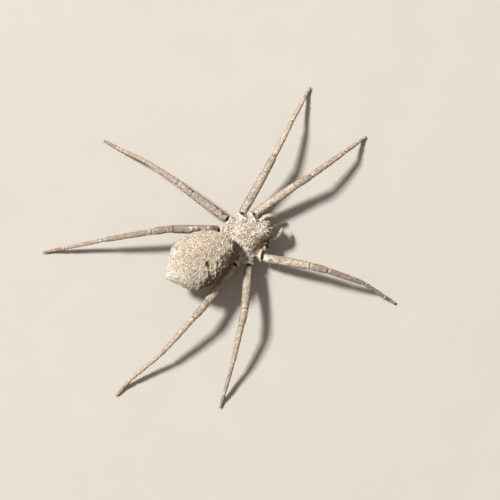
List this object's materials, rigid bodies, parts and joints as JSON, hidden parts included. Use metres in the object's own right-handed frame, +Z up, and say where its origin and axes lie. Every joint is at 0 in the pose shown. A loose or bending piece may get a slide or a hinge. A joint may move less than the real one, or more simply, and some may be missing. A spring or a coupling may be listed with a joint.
{
  "type": "homalonychus theologus sand spider",
  "caption": "Life-size model of a soil-coated desert sand spider, plump abdomen, legs spread flat, one front leg missing, standing on the ground.",
  "frame": {"origin": "middle of the animal's footprint box, on the ground", "axes": "+Z up from the ground, the head towards -Y, the animal's own left side towards +X"},
  "size_m": [0.0322, 0.0378, 0.0061],
  "materials": {
    "carapace_soil": "dry beige soil grains held by short hairs",
    "abdomen_soil": "fine beige soil over dense short hair",
    "leg_soil": "grey-brown soil-dusted leg skin with short hair",
    "leg_tip_hair": "brown hairy leg tip, lightly dusted",
    "mouthpart_brown": "dark brown horny skin, half gloss"
  },
  "bodies": {
    "root": {"abdomen": "abdomen_soil", "cephalothorax": "carapace_soil", "chelicera_left": "mouthpart_brown", "chelicera_right": "mouthpart_brown", "femur_left_1": "leg_soil", "femur_left_2": "leg_soil", "femur_left_3": "leg_soil", "femur_left_4": "leg_soil", "femur_right_2": "leg_soil", "femur_right_3": "leg_soil", "femur_right_4": "leg_soil", "metatarsus_left_1": "leg_tip_hair", "metatarsus_left_2": "leg_tip_hair", "metatarsus_left_3": "leg_tip_hair", "metatarsus_left_4": "leg_tip_hair", "metatarsus_right_2": "leg_tip_hair", "metatarsus_right_3": "leg_tip_hair", "metatarsus_right_4": "leg_tip_hair", "palp_left": "leg_soil", "palp_right": "leg_soil", "patella_left_1": "leg_soil", "patella_left_2": "leg_soil", "patella_left_3": "leg_soil", "patella_left_4": "leg_soil", "patella_right_2": "leg_soil", "patella_right_3": "leg_soil", "patella_right_4": "leg_soil", "spinnerets": "abdomen_soil", "tarsus_left_1": "leg_tip_hair", "tarsus_left_2": "leg_tip_hair", "tarsus_left_3": "leg_tip_hair", "tarsus_left_4": "leg_tip_hair", "tarsus_right_2": "leg_tip_hair", "tarsus_right_3": "leg_tip_hair", "tarsus_right_4": "leg_tip_hair", "tibia_left_1": "leg_soil", "tibia_left_2": "leg_soil", "tibia_left_3": "leg_soil", "tibia_left_4": "leg_soil", "tibia_right_2": "leg_soil", "tibia_right_3": "leg_soil", "tibia_right_4": "leg_soil"}
  },
  "joints": []
}
